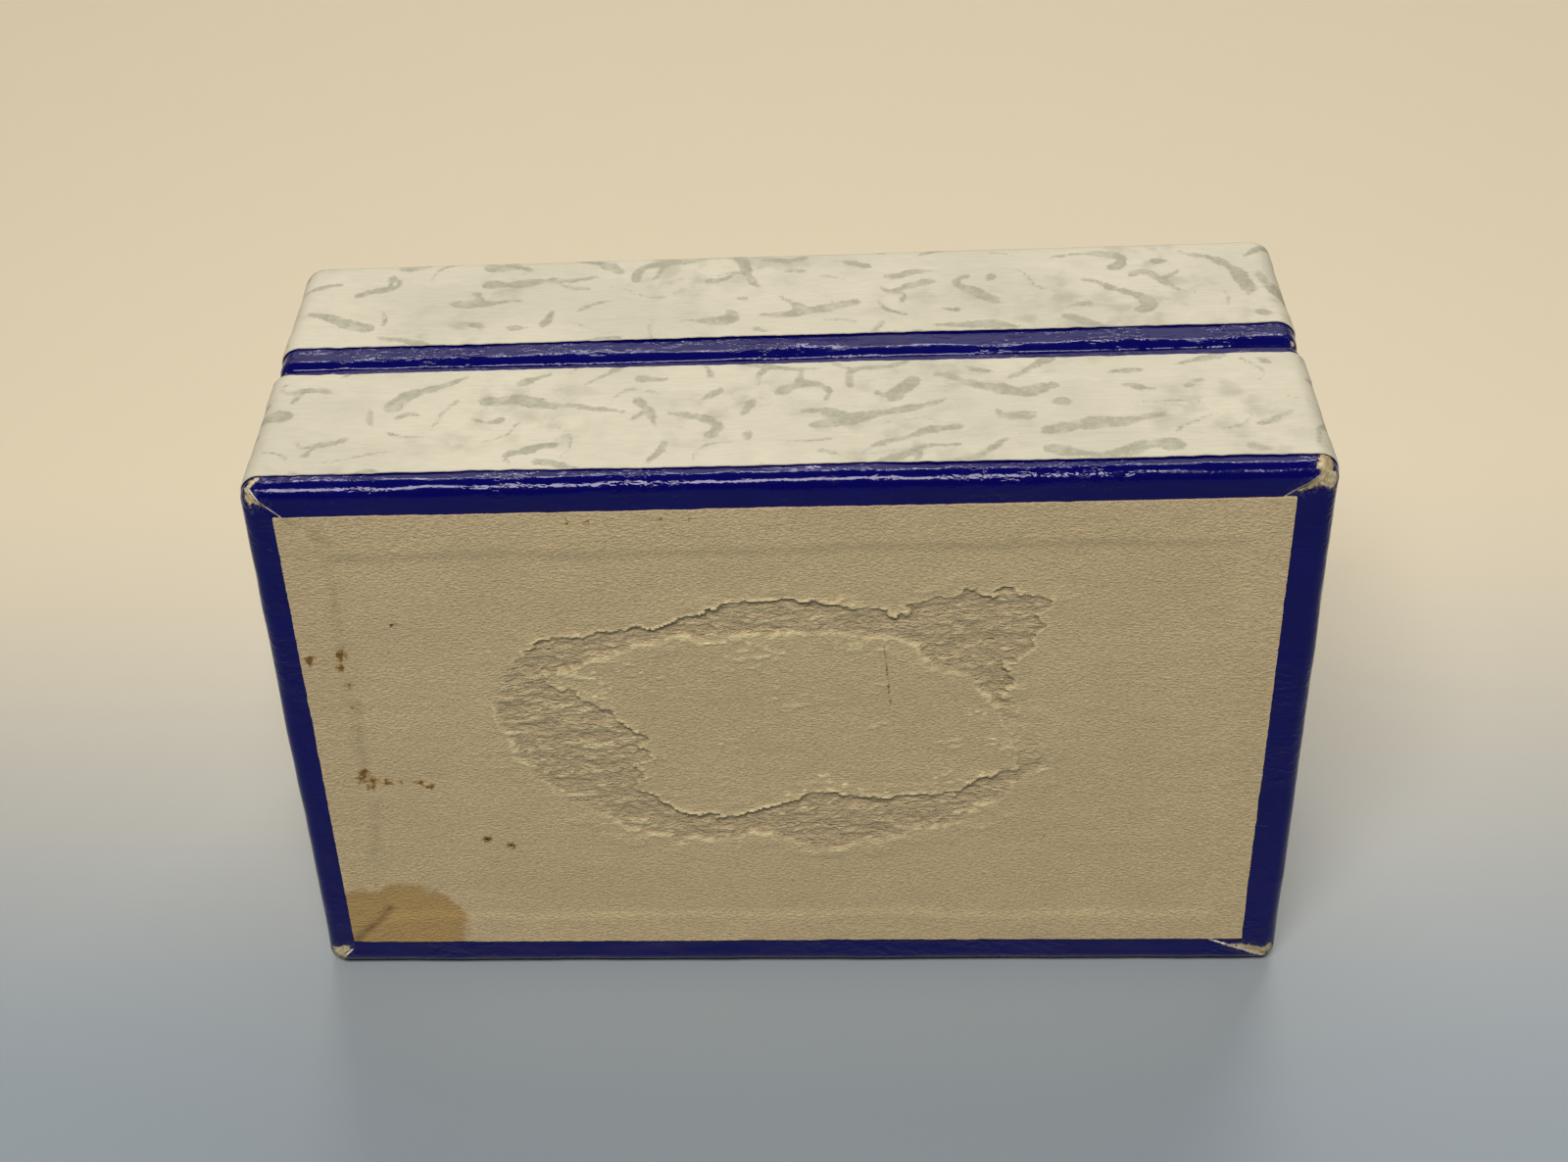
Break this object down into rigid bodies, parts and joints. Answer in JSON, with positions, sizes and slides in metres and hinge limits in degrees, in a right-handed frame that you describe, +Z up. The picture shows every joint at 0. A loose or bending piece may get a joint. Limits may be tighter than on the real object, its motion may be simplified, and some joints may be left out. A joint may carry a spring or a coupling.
{
  "type": "medicine box",
  "caption": "Small paper-covered chipboard box with dark edging strips, a glued-in neck and a lift-off lid, standing on one long side.",
  "frame": {"origin": "middle of the side that the box stands on, below the centre of its bounding box", "axes": "+X along the length, to the right as pictured; +Y from the bottom panel to the lid's top panel; +Z up the width, as the box stands on one long side"},
  "size_m": [0.1, 0.0412, 0.0633],
  "materials": {
    "chipboard": "bare grey-brown chipboard",
    "stay_paper": "gummed brown paper",
    "edging_paper": "glossy glazed dark blue paper, worn through at the corners",
    "wrap_paper": "off-white paper with grey-green brushed marks, faint sheen",
    "pulp_paper": "matt tan pulp paper, scuffed and stained",
    "lining_paper": "matt white lining paper"
  },
  "bodies": {
    "base": {"base_board": "chipboard", "base_stay_upper_left": "stay_paper", "base_stay_upper_right": "stay_paper", "base_stay_lower_left": "stay_paper", "base_stay_lower_right": "stay_paper", "base_edging_upper": "edging_paper", "base_edging_lower": "edging_paper", "base_edging_left": "edging_paper", "base_edging_right": "edging_paper", "base_rim_edging": "edging_paper", "base_wall_wrap": "wrap_paper", "bottom_sheet": "pulp_paper", "neck_board": "chipboard", "neck_cover": "lining_paper", "base_floor_lining": "lining_paper"},
    "lid": {"lid_board": "chipboard", "lid_stay_upper_left": "stay_paper", "lid_stay_upper_right": "stay_paper", "lid_stay_lower_left": "stay_paper", "lid_stay_lower_right": "stay_paper", "lid_edging_upper": "edging_paper", "lid_edging_lower": "edging_paper", "lid_edging_left": "edging_paper", "lid_edging_right": "edging_paper", "lid_rim_edging": "edging_paper", "lid_wall_wrap": "wrap_paper", "top_sheet": "wrap_paper", "lid_wall_lining": "lining_paper", "lid_top_lining": "lining_paper"}
  },
  "joints": [
    {"name": "lid_lift", "type": "slide", "parent": "base", "child": "lid", "axis": [0, 1, 0], "range_m": [0, 0.03]}
  ]
}
